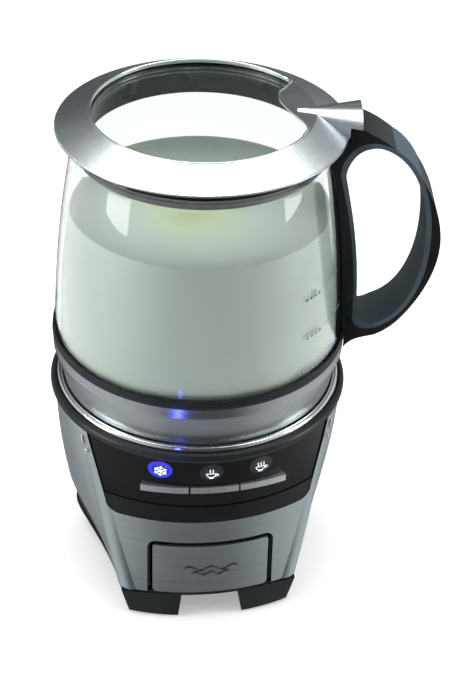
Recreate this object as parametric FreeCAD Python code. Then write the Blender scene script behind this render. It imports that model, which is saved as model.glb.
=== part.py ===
import FreeCAD, Part
import math
import os

# Induction milk frother: a lidded glass jug that stands in a round base.
# The model is built around the jug's axis with the control panel facing -Y and the ground at z = 0.
# It is moved at the end, so that the origin is the centre of its box's bottom face.

V = FreeCAD.Vector
UP = V(0, 0, 1)
AXIS = V(0, 0, 0)

# ---------------------------------------------------------------- driving dimensions (mm, degrees)
CLEAR = 0.3            # gap between curved faces of pieces that come apart
RUN_FIT = 0.06         # radial clearance of a shaft in its bearing
JUG_TURN = -6.5        # the jug's handle, measured from the +X side of the base

# base, from the ground up
PAD_HEIGHT = 1.2
PLATE_LOW = 13.6       # underside of the bottom cover between the feet
WRAP_LOW = 15.4        # lower edge of the steel wrap
WRAP_HIGH = 99.3       # upper edge of the steel wrap, under the collar
WRAP_WALL = 1.0
# lower edge of the wrap beside and behind the front apron: points of depth and height
SIDE_EDGE = ((-44.0, 11.0), (-33.5, 28.5), (-20.0, 35.5), (90.0, 36.0))
HOUSING_WALL = 1.8
DECK_LOW = 47.0        # deck over the drawer bay
DECK_THICK = 2.0

# plan of the base: the lowest section is a waisted shield, the highest one is round
FOOT_FRONT = 60.5      # front of the shield
FOOT_HALF = 40.8       # half its width at the front corners
FOOT_CORNER = 52.5     # how far forward those corners are
FOOT_WAIST = 46.2      # half the width at the waist
FOOT_RADIUS = 61.5     # round rear
TOP_RADIUS = 68.5      # round top section
TOP_HALF = 56.0        # half the front's width at the top
SHOULDER = 20.0        # angle at which the round rear begins
# height of a section, and its shares of the top section: at the front, at the front corners, at the sides and rear
BASE_LEVELS = ((0.0, 0.0, 0.0, 0.0), (15.0, 0.0, 0.0, 0.0), (36.0, 0.02, 0.30, 0.42), (58.0, 0.08, 0.56, 0.76),
               (70.0, 0.24, 0.70, 0.88), (84.0, 0.62, 0.87, 0.96), (98.0, 1.0, 1.0, 1.0), (110.0, 1.0, 1.0, 1.0))

# rear plinth and front feet
PLINTH_FRONT = -15.0
PLINTH_WALL = 2.2
# height of a section of the rear plinth, and how far it is drawn in from the base's plan
PLINTH_LEVELS = ((PAD_HEIGHT, 11.0), (2.6, 8.2), (6.4, 5.6), (PLATE_LOW, 3.4))
FOOT_INNER = 15.2
FOOT_OUTER = 38.0
FOOT_BACK = 38.0
SCREW_RADIUS = 1.5
COVER_SCREWS = ((-34.0, -24.0), (34.0, -24.0), (0.0, -24.0))

# control panel
PANEL_LOW = 58.8       # bright upper edge of the front steel
PANEL_STEP = 69.0      # between the glossy panel and the lower trim
PANEL_HALF_LOW = 48.0
PANEL_HALF_HIGH = 55.6
PANEL_CORNER = 6.0
PANEL_WALL = 2.4
PANEL_GAP = 0.35
PANEL_DEPTH = 38.0     # the panel's sides end this far in front of the jug's axis
ICON_HEIGHT = 92.4
ICON_SHIFT = -1.8       # the icons stand this far off the middle of their buttons
ICON_RADIUS = 5.4
ICON_SPACING = 22.7
BUTTON_LOW = 79.6
BUTTON_HIGH = 82.9
BUTTON_LENGTH = 22.0
BUTTON_SPACING = 22.9
BUTTON_ARC = 98.0      # plan radius of the row of buttons
BUTTON_FACE = 65.6     # front of the middle button
BUTTON_TRAVEL = 1.0
SWITCH_DEPTH = 7.2     # from a button's face back to its switch
BOARD_DEPTH = 12.5     # from the middle button's face back to the control board

# disc drawer
DRAWER_HALF = 27.2
DRAWER_LOW = 15.8
DRAWER_HIGH = 44.0
DRAWER_GAP = 2.4
DRAWER_CORNER = 2.0
DRAWER_DEPTH = 45.0
TRAY_HALF = 25.6
TRAY_LOW = 18.0
TRAY_HIGH = 42.0
TRAY_WALL = 1.6
STORED_PLACE = -34.4
DRAWER_TRAVEL = 38.0

# seat for the jug
COLLAR_RADIUS = 68.9
COLLAR_LOW = 99.3
COLLAR_HIGH = 103.4
RING_INNER = 63.2
RING_OUTER = 66.0
RING_TOP = 105.4
SEAT_FLOOR = 94.0
SEAT_WALL = 2.0

# jug
CUP_FLOOR = SEAT_FLOOR + 0.2
CUP_RADIUS_LOW = 61.6
CUP_RADIUS_HIGH = 65.6
CUP_TOP = 127.4
CUP_WALL = 1.2
BAND_LOW = 127.4
BAND_HIGH = 131.6
BAND_RADIUS = 67.3
GLASS_WALL = 2.2
GLASS_LOW = 124.0
GLASS_RADIUS = 66.2    # at the band
GLASS_MID = (63.9, 172.0)
NECK = (57.2, 220.5)
LIP = (60.2, 228.0)
PIN_RADIUS = 2.5
PIN_TOP = 108.0

# lid
RIM_RADIUS = 64.0
RIM_HEIGHT = 232.4
WINDOW_RADIUS = 48.5
WINDOW_LIP = 239.0
COVER_WALL = 0.9
PANE_LOW = 234.6
PANE_THICK = 2.4
SKIRT_RADIUS = 52.6
SKIRT_LOW = 220.0
NOSE_TIP = 68.6
NOSE_TOP = 241.8
NOSE_HALF = 14.6
NOSE_START = 41.0

# handle
LOOP_HALF = 13.2       # half its width at the lower end
ARM_HALF = 10.6        # half its width at the top
SPINE_HALF = 9.6
GRIP_THICK = 2.4
HOLE_MIDDLE = (82.0, 182.0)
HOLE_HALF = (18.0, 45.0)
HANDLE_SCREW_X = 76.0
HANDLE_SCREW_PLACE = 4.6
HANDLE_SCREW_LOW = 129.6
HANDLE_SCREW_TOP = 135.2

# drive
ROTOR_RADIUS = 18.0
ROTOR_LOW = 84.2
ROTOR_HIGH = 90.6
SHAFT_RADIUS = 1.6
MOTOR_RADIUS = 14.0
MOTOR_LOW = 54.0
MOTOR_HIGH = 78.0
MAGNET_RADIUS = 4.0
MAGNET_CIRCLE = 11.5
MAGNETS = 4
SENSOR_RADIUS = 2.3
SENSOR_PLACE = 21.0

# mains lead's way in
GLAND_HEIGHT = 30.0
GLAND_BORE = 3.3
GLAND_SLEEVE = 5.4
GLAND_FLANGE = 7.6


# ---------------------------------------------------------------- helpers
def wire(start, *steps, place=lambda a, b: V(a, 0, b)):
    """Closed outline: a step of two numbers is a line's end, one of four an arc's midpoint and end."""
    edges = []
    here = place(*start)
    for step in steps + (start,):
        end = place(*step[-2:])
        if len(step) == 4:
            edges.append(Part.Arc(here, place(*step[:2]), end).toShape())
        elif (end - here).Length > 1e-6:
            edges.append(Part.LineSegment(here, end).toShape())
        here = end
    return Part.Wire(edges)


def turned(start, *steps):
    """Solid of revolution about the jug's axis, from an outline of radii and heights."""
    return Part.Face(wire(start, *steps)).revolve(AXIS, UP, 360)


def rod(radius, low, high, x=0.0, y=0.0):
    return Part.makeCylinder(radius, high - low, V(x, y, low))


def tube(outer, inner, low, high):
    return rod(outer, low, high).cut(rod(inner, low - 1, high + 1))


def block(x0, x1, y0, y1, z0, z1):
    return Part.makeBox(x1 - x0, y1 - y0, z1 - z0, V(x0, y0, z0))


def fuse(first, *others):
    return first.multiFuse(list(others)).removeSplitter()


def blend(low, high, share):
    return low + (high - low) * share


def ring_spots(count, radius, start=0.0):
    angles = [math.radians(start + 360.0 * i / count) for i in range(count)]
    return [(radius * math.cos(a), radius * math.sin(a)) for a in angles]


# ---------------------------------------------------------------- plan of the base
def shares(z):
    """Shares of the round top section at height z, for the front, its corners and the sides."""
    for low, high in zip(BASE_LEVELS, BASE_LEVELS[1:]):
        if z <= high[0]:
            part = (z - low[0]) / (high[0] - low[0])
            return [blend(a, b, part) for a, b in zip(low[1:], high[1:])]
    return [1.0, 1.0, 1.0]


def corner_points(share):
    """Front corner of the plan: end of the front arc, middle of the corner, start of the side."""
    foot = (V(FOOT_HALF - 6, -FOOT_CORNER - 2.2, 0), V(FOOT_HALF + 0.2, -FOOT_CORNER + 0.4, 0),
            V(FOOT_HALF + 1.6, -FOOT_CORNER + 6, 0))
    reach = math.degrees(math.asin(TOP_HALF / TOP_RADIUS))
    angles = [math.radians(reach - 90 + turn) for turn in (-4, 0, 4)]
    top = [V(TOP_RADIUS * math.cos(a), TOP_RADIUS * math.sin(a), 0) for a in angles]
    return [blend(low, high, share) for low, high in zip(foot, top)]


def plan(z, inset):
    """Closed plan of the base at height z, drawn in by the inset."""
    front, corner, side = shares(z)
    first, middle, last = corner_points(corner)
    radius = blend(FOOT_RADIUS, TOP_RADIUS, side)
    angle = math.radians(SHOULDER)
    shoulder = V(radius * math.cos(angle), radius * math.sin(angle), 0)
    along = V(-math.sin(angle), math.cos(angle), 0)
    knee_foot = V(FOOT_WAIST + 1.2, -12, 0)
    knee_top = V(TOP_RADIUS * 0.985, -22, 0)
    knee = blend(knee_foot, knee_top, side)
    pull = shoulder - along * blend(8.0, 13.0, side)
    tip = V(0, -blend(FOOT_FRONT, TOP_RADIUS, front), 0)
    back = V(0, radius, 0)

    def flip(point):
        return V(-point.x, point.y, 0)

    def side_curve(points):
        curve = Part.BezierCurve()
        curve.setPoles(points)
        return curve.toShape()

    edges = [Part.Arc(flip(first), tip, first).toShape(),
             Part.Arc(first, middle, last).toShape(),
             side_curve([last, knee, pull, shoulder]),
             Part.Arc(shoulder, back, flip(shoulder)).toShape(),
             side_curve([flip(shoulder), flip(pull), flip(knee), flip(last)]),
             Part.Arc(flip(last), flip(middle), flip(first)).toShape()]
    shape = Part.Wire(edges)
    scale = 1 - inset / 65.0
    grow = FreeCAD.Matrix()
    grow.scale(scale, scale, 1)
    shape = shape.transformGeometry(grow)
    shape.translate(V(0, 0, z))
    return shape


def base_body(inset, low, high):
    """Solid of the base's outer form, drawn in by the inset, between two heights."""
    heights = [low] + [level[0] for level in BASE_LEVELS if low + 2 < level[0] < high - 2] + [high]
    return Part.makeLoft([plan(z, inset) for z in heights], True, False)


def front_prism(half_low, low, half_high, high, corner_low, corner_high):
    """Prism through the front wall: an upright trapezoid with rounded corners."""
    bulge = 1 - math.sqrt(0.5)

    def corner(x, z, radius, rise):
        """Points of the corner on the +X side, walked upwards."""
        points = [(x - radius, z), (x - bulge * radius, z + rise * bulge * radius), (x, z + rise * radius)]
        return points if rise > 0 else points[::-1]

    right = corner(half_low, low, corner_low, 1) + corner(half_high, high, corner_high, -1)
    left = [(-x, z) for x, z in right[::-1]]
    a, b, c, d, e, f = right
    g, h, i, j, k, m = left
    outline = wire(a, b + c, d, e + f, g, h + i, j, k + m, place=lambda x, z: V(x, -90, z))
    return Part.Face(outline).extrude(V(0, 90 - PANEL_DEPTH, 0))


def panel_cutter(low, high, margin):
    """Prism through the front wall with the outline of the control panel."""
    def half(z):
        return blend(PANEL_HALF_LOW, PANEL_HALF_HIGH, (z - PANEL_LOW) / (WRAP_HIGH - PANEL_LOW)) - margin
    top = WRAP_HIGH + 5
    full = front_prism(half(PANEL_LOW), PANEL_LOW + margin, half(top), top, PANEL_CORNER - margin, 1.0)
    return full.common(block(-90, 90, -95, 0, low, high))


# ---------------------------------------------------------------- base, outside
def steel_wrap():
    body = base_body(0, WRAP_LOW, WRAP_HIGH).cut(base_body(WRAP_WALL, WRAP_LOW - 1, WRAP_HIGH + 1))
    body = body.cut(panel_cutter(PANEL_LOW, WRAP_HIGH + 5, 0))
    start, middle, end, rear = SIDE_EDGE
    below = Part.Face(wire(start, middle + end, rear, (rear[0], start[1]), place=lambda a, b: V(-90, a, b)))
    return body.cut(below.extrude(V(180, 0, 0))).cut(drawer_prism(DRAWER_GAP, WRAP_LOW - 4))


def drawer_prism(margin, low):
    half = DRAWER_HALF + margin
    corner = DRAWER_CORNER + margin
    return front_prism(half, low, half, DRAWER_HIGH + margin, DRAWER_CORNER, corner)


def housing_form(inset, low, high):
    return base_body(WRAP_WALL + CLEAR + inset, low, high)


def inner_housing():
    """Black housing inside the steel wrap, with the deck that carries the drive."""
    low = WRAP_LOW + 1.6
    high = WRAP_HIGH - 0.5
    shell = housing_form(0, low, high).cut(housing_form(HOUSING_WALL, low - 1, high + 1))
    shell = shell.cut(panel_cutter(PANEL_LOW - 3, high + 3, -2))
    shell = shell.cut(rod(RING_INNER + 1.4, SEAT_FLOOR - SEAT_WALL - 0.4, high + 1))
    shell = shell.cut(block(-DRAWER_HALF - 1, DRAWER_HALF + 1, -80, -20, low - 1, DRAWER_HIGH + 1))
    deck = housing_form(HOUSING_WALL / 2, DECK_LOW, DECK_LOW + DECK_THICK)
    deck = deck.cut(rod(MOTOR_RADIUS * 0.7, DECK_LOW - 1, DECK_LOW + DECK_THICK + 1, 0, 40))
    return fuse(shell, deck)


def bottom_cover():
    """Black bottom moulding with two front feet and a round rear plinth."""
    plate = base_body(0.6, PLATE_LOW, WRAP_LOW)
    plate = fuse(plate, housing_form(HOUSING_WALL + 0.3, WRAP_LOW, WRAP_LOW + 1.6))
    outer = plinth_form(0)
    inner = plinth_form(PLINTH_WALL)
    outer = outer.cut(block(-90, 90, -90, PLINTH_FRONT, 0, PLATE_LOW + 1))
    inner = inner.cut(block(-90, 90, -90, PLINTH_FRONT + PLINTH_WALL, 0, PLATE_LOW + 1))
    pieces = [outer.cut(inner)]
    for side in (-1, 1):
        pieces.append(front_foot(side))
    cover = fuse(plate, *pieces)
    for x, y in COVER_SCREWS:
        cover = cover.cut(rod(SCREW_RADIUS + 0.1, PLATE_LOW - 1, WRAP_LOW + 3, x, y))
    return cover


def plinth_form(wall):
    """Solid of the rear plinth, which keeps the base's plan but curves in towards the ground."""
    sections = [plan(0, inset + wall) for height, inset in PLINTH_LEVELS]
    for section, (height, inset) in zip(sections, PLINTH_LEVELS):
        section.translate(V(0, 0, height + (wall if height < 6 else 0)))
    return Part.makeLoft(sections, True, False)


def front_foot(side):
    """Tapered foot under a front corner."""
    def section(z, inner, outer, front, corner, back):
        return wire((side * inner, -front), (side * (inner + outer) / 2, -(front + corner) / 2 - 0.8,
                                             side * outer, -corner),
                    (side * outer, -back), (side * inner, -back),
                    place=lambda a, b: V(a, b, z))
    high = section(PLATE_LOW + 0.8, FOOT_INNER - 1.6, FOOT_OUTER + 3.6, FOOT_FRONT - 1.4,
                   FOOT_CORNER + 0.9, FOOT_BACK - 4)
    low = section(PAD_HEIGHT, FOOT_INNER, FOOT_OUTER, FOOT_FRONT - 1.2, FOOT_CORNER + 0.4, FOOT_BACK)
    return Part.makeLoft([low, high], True, True)


def rubber_pads():
    spots = [(side * 26.0, -48.0) for side in (-1, 1)] + [(side * 30.0, 30.0) for side in (-1, 1)]
    return Part.makeCompound([rod(5.5, 0, PAD_HEIGHT, x, y) for x, y in spots])


def base_screws():
    screws = []
    for x, y in COVER_SCREWS:
        head = rod(2.8, PLATE_LOW - 1.8, PLATE_LOW, x, y)
        screws.append(fuse(head, rod(SCREW_RADIUS, PLATE_LOW, WRAP_LOW + 2.4, x, y)))
    return Part.makeCompound(screws)


def top_collar():
    """Black collar between the steel wrap and the chrome ring."""
    return turned((RING_OUTER - 0.6, COLLAR_LOW), (COLLAR_RADIUS - 0.3, COLLAR_LOW),
                  (COLLAR_RADIUS + 0.2, (COLLAR_LOW + COLLAR_HIGH) / 2, COLLAR_RADIUS - 0.5, COLLAR_HIGH - 0.6),
                  (COLLAR_RADIUS - 1.6, COLLAR_HIGH), (RING_OUTER + 0.4, COLLAR_HIGH),
                  (RING_OUTER + 0.4, COLLAR_HIGH - 1.4), (RING_OUTER - 0.6, COLLAR_HIGH - 1.4))


def seat_ring():
    """Chrome ring around the mouth of the seat."""
    low = COLLAR_HIGH - 1.4
    middle = (RING_INNER + RING_OUTER) / 2
    return turned((RING_INNER, low), (RING_OUTER + 0.3, low), (RING_OUTER, RING_TOP - 1.2),
                  (middle, RING_TOP, RING_INNER, RING_TOP - 1.2))


def seat_well():
    """Black well that holds the jug, with a boss for the sensor."""
    wall = RING_INNER - 0.2
    floor_low = SEAT_FLOOR - SEAT_WALL
    well = turned((0, floor_low), (wall - 0.4, floor_low), (wall + 1.2, floor_low + 2),
                  (wall + 1.2, COLLAR_HIGH - 1.4), (wall - 0.7, COLLAR_HIGH - 1.4),
                  (wall - 0.9, SEAT_FLOOR + 1.2), (wall - 2.1, SEAT_FLOOR), (0, SEAT_FLOOR))
    return well.cut(rod(SENSOR_RADIUS + 0.2, floor_low - 1, SEAT_FLOOR + 1, SENSOR_PLACE, 0))


# ---------------------------------------------------------------- control panel
def panel_piece(low, high, sink, margin):
    """Part of the front face between two heights, set back by sink from the wrap's surface."""
    block_form = base_body(sink, low, high).cut(base_body(sink + PANEL_WALL, low - 1, high + 1))
    return block_form.common(panel_cutter(low, high, margin))


def button_place(index):
    """Centre angle of a button, about the centre of the row's arc."""
    return math.degrees(index * BUTTON_SPACING / BUTTON_ARC)


def arc_bar(index, length, front, back, low, high):
    """Bar that follows the row's arc: front and back are radii about the arc's centre."""
    half = math.degrees(length / 2 / BUTTON_ARC)
    centre = BUTTON_ARC - BUTTON_FACE
    ring = Part.makeCylinder(front, high - low, V(0, 0, low), UP, 2 * half)
    ring = ring.cut(Part.makeCylinder(back, high - low + 2, V(0, 0, low - 1)))
    ring.rotate(AXIS, UP, button_place(index) - 90 - half)
    ring.translate(V(0, centre, 0))
    return ring


def control_panel():
    panel = panel_piece(PANEL_STEP, WRAP_HIGH - 0.3, 0.6, PANEL_GAP)
    for index in (-1, 0, 1):
        panel = panel.cut(arc_bar(index, BUTTON_LENGTH + 0.5, BUTTON_ARC + 3, BUTTON_ARC - 9,
                                  BUTTON_LOW - 0.25, BUTTON_HIGH + 0.25))
        panel = panel.cut(icon_axis_rod(index, ICON_RADIUS + 0.05, 24))
    return panel


def icon_axis_rod(index, radius, length):
    """Rod square to the front at an icon's place."""
    spot = V(index * ICON_SPACING + ICON_SHIFT, -72, ICON_HEIGHT)
    return Part.makeCylinder(radius, length, spot, V(0, 1, 0))


def icon_lenses():
    skin = base_body(0.65, PANEL_STEP + 1, WRAP_HIGH - 1).cut(base_body(2.6, PANEL_STEP, WRAP_HIGH))
    return Part.makeCompound([skin.common(icon_axis_rod(index, ICON_RADIUS, 30)) for index in (-1, 0, 1)])


def panel_trim():
    return panel_piece(PANEL_LOW + 0.4, PANEL_STEP - 0.15, 0.1, PANEL_GAP)


def button(index):
    """Silver bar with a stem that reaches its switch."""
    bar = arc_bar(index, BUTTON_LENGTH, BUTTON_ARC, BUTTON_ARC - 3.4, BUTTON_LOW, BUTTON_HIGH)
    stem = arc_bar(index, 6.0, BUTTON_ARC - 3.4, BUTTON_ARC - SWITCH_DEPTH, BUTTON_LOW + 0.6, BUTTON_HIGH - 0.6)
    return fuse(bar, stem)


def tact_switches():
    back = BUTTON_ARC - BOARD_DEPTH
    front = BUTTON_ARC - SWITCH_DEPTH - BUTTON_TRAVEL - 0.15
    return Part.makeCompound([arc_bar(index, 6.0, front, back, BUTTON_LOW - 1.4, BUTTON_HIGH + 1.4)
                              for index in (-1, 0, 1)])


def control_board():
    return arc_bar(0, 78.0, BUTTON_ARC - BOARD_DEPTH, BUTTON_ARC - BOARD_DEPTH - 1.6, 66.0, SEAT_FLOOR - SEAT_WALL - 0.6)


def indicator_lights():
    lights = []
    for index in (-1, 0, 1):
        lights.append(arc_bar(index, 4.0, BUTTON_ARC - BOARD_DEPTH + 3.2, BUTTON_ARC - BOARD_DEPTH, 87.2, 90.8))
    return Part.makeCompound(lights)


# ---------------------------------------------------------------- disc drawer
def drawer_front():
    skin = base_body(0, DRAWER_LOW, DRAWER_HIGH).cut(base_body(1.4, DRAWER_LOW - 1, DRAWER_HIGH + 1))
    return skin.common(drawer_prism(0, DRAWER_LOW))


def drawer_tray():
    """Open tray behind the drawer's front."""
    front = FOOT_FRONT - 3.4
    outer = block(-TRAY_HALF, TRAY_HALF, -80, -front + DRAWER_DEPTH, TRAY_LOW, TRAY_HIGH)
    outer = outer.common(base_body(1.5, DRAWER_LOW - 1, DRAWER_HIGH + 1))
    hollow = block(-TRAY_HALF + TRAY_WALL, TRAY_HALF - TRAY_WALL, -front + 3.0, -front + DRAWER_DEPTH - TRAY_WALL,
                   TRAY_LOW + TRAY_WALL, TRAY_HIGH + 1)
    return outer.cut(hollow)


def stored_disc(low, rim, spokes):
    """Spare disc that lies in the drawer: a hub, a rim and spokes."""
    x, y = 0.0, STORED_PLACE
    ring = rod(rim, low, low + 3, x, y).cut(rod(rim - 2.4, low - 1, low + 4, x, y))
    hub = rod(5.5, low, low + 5, x, y).cut(rod(2.8, low - 1, low + 6, x, y))
    arms = []
    for i in range(spokes):
        arm = block(4.5, rim - 1.2, -1.3, 1.3, low, low + 2)
        arm.rotate(AXIS, UP, 360.0 * i / spokes)
        arm.translate(V(x, y, 0))
        arms.append(arm)
    return fuse(ring, hub, *arms)


# ---------------------------------------------------------------- inside the base
def induction_coil():
    turns = [tube(r + 1.9, r, 87.6, 90.4) for r in (24.0, 28.5, 33.0, 37.5, 42.0, 46.5)]
    joint = block(24.5, 48.0, -1.0, 1.0, 87.6, 88.4)
    return fuse(turns[0], *turns[1:], joint)


def coil_former():
    plate = tube(51.0, 21.0, 84.6, 87.4)
    return plate.cut(rod(SENSOR_RADIUS + 0.4, 84, 88, SENSOR_PLACE, 0))


def ferrite_bars():
    bars = []
    for i in range(6):
        bar = block(24.0, 50.0, -4.0, 4.0, 80.6, 84.4)
        bar.rotate(AXIS, UP, 30 + 60.0 * i)
        bars.append(bar)
    return Part.makeCompound(bars)


def temperature_sensor():
    return rod(SENSOR_RADIUS, 76.0, SEAT_FLOOR - 0.1, SENSOR_PLACE, 0)


def drive_motor():
    body = rod(MOTOR_RADIUS, MOTOR_LOW, MOTOR_HIGH)
    nose = rod(4.5, MOTOR_HIGH, MOTOR_HIGH + 2)
    return fuse(body, nose).cut(rod(SHAFT_RADIUS + RUN_FIT, MOTOR_LOW + 6, MOTOR_HIGH + 3))


def motor_mount():
    """Cup that holds the motor on the deck."""
    deck = DECK_LOW + DECK_THICK
    cup = tube(MOTOR_RADIUS + 2.4, MOTOR_RADIUS + 0.1, deck, MOTOR_LOW + 14)
    floor = tube(24.0, 5.0, deck, MOTOR_LOW)
    return fuse(cup, floor)


def motor_shaft():
    return rod(SHAFT_RADIUS, MOTOR_LOW + 6.5, ROTOR_HIGH - 1.5)


def magnet_rotor():
    rotor = rod(ROTOR_RADIUS, ROTOR_LOW, ROTOR_HIGH).cut(rod(SHAFT_RADIUS, ROTOR_LOW - 1, ROTOR_HIGH - 1.5))
    for x, y in ring_spots(MAGNETS, MAGNET_CIRCLE):
        rotor = rotor.cut(rod(MAGNET_RADIUS, ROTOR_HIGH - 4, ROTOR_HIGH + 1, x, y))
    return rotor


def rotor_magnets():
    spots = ring_spots(MAGNETS, MAGNET_CIRCLE)
    return Part.makeCompound([rod(MAGNET_RADIUS, ROTOR_HIGH - 4, ROTOR_HIGH, x, y) for x, y in spots])


def power_board():
    return block(-38, 38, 2, 46, 22.0, 23.6)


def heat_sink():
    fins = [block(-34 + 5 * i, -32.5 + 5 * i, 8, 30, 25.6, 42) for i in range(5)]
    return fuse(block(-35, -11, 8, 30, 23.6, 25.8), *fins)


def capacitors():
    return Part.makeCompound([rod(7.0, 23.6, 41, 10, 16), rod(5.0, 23.6, 38, 27, 14), rod(5.0, 23.6, 38, 27, 28)])


def cord_gland():
    """Sleeve at the rear through which the mains lead enters."""
    mouth = FOOT_RADIUS + 3.0
    sleeve = Part.makeCylinder(GLAND_SLEEVE, 8.0, V(0, mouth - 7.0, GLAND_HEIGHT), V(0, 1, 0))
    flange = Part.makeCylinder(GLAND_FLANGE, 1.6, V(0, mouth - 0.6, GLAND_HEIGHT), V(0, 1, 0))
    bore = Part.makeCylinder(GLAND_BORE, 12.0, V(0, mouth - 9.0, GLAND_HEIGHT), V(0, 1, 0))
    return fuse(sleeve, flange).cut(bore)


def gland_hole(shape, radius):
    return shape.cut(Part.makeCylinder(radius, 30, V(0, FOOT_RADIUS - 12, GLAND_HEIGHT), V(0, 1, 0)))


# ---------------------------------------------------------------- jug
def glass_outline(offset):
    """Outer line of the glass from the band to the lip, moved outwards by the offset."""
    return ((GLASS_RADIUS + offset, BAND_HIGH),
            (GLASS_MID[0] + offset, GLASS_MID[1], NECK[0] + offset, NECK[1]),
            (NECK[0] + offset + 0.6, blend(NECK[1], LIP[1], 0.6), LIP[0] + offset, LIP[1]))


def jug_glass():
    start, barrel, neck = glass_outline(0)
    inner_start, inner_barrel, inner_neck = glass_outline(-GLASS_WALL)
    inner_back = (GLASS_MID[0] - GLASS_WALL, GLASS_MID[1], GLASS_RADIUS - GLASS_WALL, BAND_HIGH)
    return turned((GLASS_RADIUS - 0.4, GLASS_LOW), start, barrel, neck,
                  (LIP[0] - GLASS_WALL / 2, LIP[1] + 1.1, LIP[0] - GLASS_WALL, LIP[1]),
                  (NECK[0] - GLASS_WALL + 0.6, blend(NECK[1], LIP[1], 0.6), NECK[0] - GLASS_WALL, NECK[1]),
                  inner_back, (GLASS_RADIUS - 0.4 - GLASS_WALL, GLASS_LOW))


def jug_band():
    """Black band that clamps the glass on the cup."""
    return turned((GLASS_RADIUS + 0.1, BAND_LOW), (BAND_RADIUS, BAND_LOW), (BAND_RADIUS + 0.3, BAND_LOW + 1.2),
                  (BAND_RADIUS, BAND_HIGH), (GLASS_RADIUS + 0.1, BAND_HIGH))


def jug_steel_cup():
    """Steel cup under the glass: its floor is heated by the coil."""
    top = CUP_TOP - 0.1
    inner_high = CUP_RADIUS_HIGH - CUP_WALL
    return turned((0, CUP_FLOOR), (CUP_RADIUS_LOW - 4, CUP_FLOOR),
                  (CUP_RADIUS_LOW - 1.2, CUP_FLOOR + 1.2, CUP_RADIUS_LOW, CUP_FLOOR + 4),
                  (CUP_RADIUS_HIGH, GLASS_LOW - 2.4), (BAND_RADIUS, GLASS_LOW - 1.6), (BAND_RADIUS, top),
                  (GLASS_RADIUS + 0.1, top), (GLASS_RADIUS + 0.1, GLASS_LOW - 0.9),
                  (inner_high - 2.4, GLASS_LOW - 0.9), (inner_high - 2.4, GLASS_LOW - 2.2),
                  (inner_high, GLASS_LOW - 3.4), (CUP_RADIUS_LOW - CUP_WALL, CUP_FLOOR + 4.6),
                  (CUP_RADIUS_LOW - 2.6, CUP_FLOOR + 2.4, CUP_RADIUS_LOW - 5, CUP_FLOOR + CUP_WALL),
                  (PIN_RADIUS, CUP_FLOOR + CUP_WALL), (PIN_RADIUS, CUP_FLOOR + 0.6), (0, CUP_FLOOR + 0.6))


def jug_gasket():
    """Seal between the glass and the cup."""
    return tube(GLASS_RADIUS - 0.4, GLASS_RADIUS - 2.8, GLASS_LOW - 0.8, GLASS_LOW)


def stirrer_pin():
    return turned((0, CUP_FLOOR + 0.6), (PIN_RADIUS, CUP_FLOOR + 0.6), (PIN_RADIUS, PIN_TOP - 1),
                  (PIN_RADIUS - 0.4, PIN_TOP), (0, PIN_TOP))


def frothing_disc():
    """Disc with a hub that turns on the pin."""
    low = CUP_FLOOR + CUP_WALL + 0.8
    plate = tube(21.0, PIN_RADIUS + RUN_FIT, low, low + 4.6)
    hub = tube(5.0, PIN_RADIUS + RUN_FIT, low, low + 9.0)
    disc = fuse(plate, hub)
    for x, y in ring_spots(MAGNETS, MAGNET_CIRCLE):
        disc = disc.cut(rod(MAGNET_RADIUS - 0.5, low + 0.6, low + 6, x, y))
    return disc


def disc_magnets():
    low = CUP_FLOOR + CUP_WALL + 1.4
    spots = ring_spots(MAGNETS, MAGNET_CIRCLE)
    return Part.makeCompound([rod(MAGNET_RADIUS - 0.5, low, low + 4, x, y) for x, y in spots])


def whisk_ring():
    """Closed outer form of the coiled whisk around the disc."""
    low = CUP_FLOOR + CUP_WALL + 0.8
    return Part.makeTorus(23.0, 2.0, V(0, 0, low + 2.3), UP)


# ---------------------------------------------------------------- handle
def flat(a, b):
    return V(a, 0, b)


def loop_outline():
    """Outer line of the handle's loop, closed inside the jug's wall."""
    curve = Part.BSplineCurve()
    curve.interpolate([flat(x, z) for x, z in ((66.5, 120.6), (71.0, 126.6), (83.0, 132.6), (95.2, 145.0),
                                               (103.4, 161.0), (106.8, 178.0), (103.4, 197.4),
                                               (94.8, 213.8), (82.4, 227.0), (69.0, 235.0))])
    steps = [flat(69.0, 235.0), flat(50.0, 235.0), flat(50.0, 120.6), flat(66.5, 120.6)]
    lines = [Part.LineSegment(a, b).toShape() for a, b in zip(steps, steps[1:])]
    return Part.Wire([curve.toShape()] + lines)


def hole_outline(grow=0.0):
    """Opening for the fingers, made larger all round by grow."""
    def spot(x, z):
        wide = 1 + grow / HOLE_HALF[0]
        tall = 1 + grow / HOLE_HALF[1]
        return flat(HOLE_MIDDLE[0] + (x - HOLE_MIDDLE[0]) * wide, HOLE_MIDDLE[1] + (z - HOLE_MIDDLE[1]) * tall)

    top = spot(63.4, 209.0)
    low = spot(71.4, 140.5)
    curve = Part.BSplineCurve()
    curve.interpolate([top, spot(66.0, 220.4), spot(74.0, 226.4), spot(82.6, 224.2), spot(91.4, 215.8),
                       spot(97.8, 200.8), spot(100.0, 182.0), spot(97.8, 161.6), spot(90.2, 145.0),
                       spot(80.6, 137.6), spot(73.8, 136.6), low])
    side = Part.Arc(low, spot(68.6, 183.0), top)
    return Part.Wire([curve.toShape(), side.toShape()])


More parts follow.
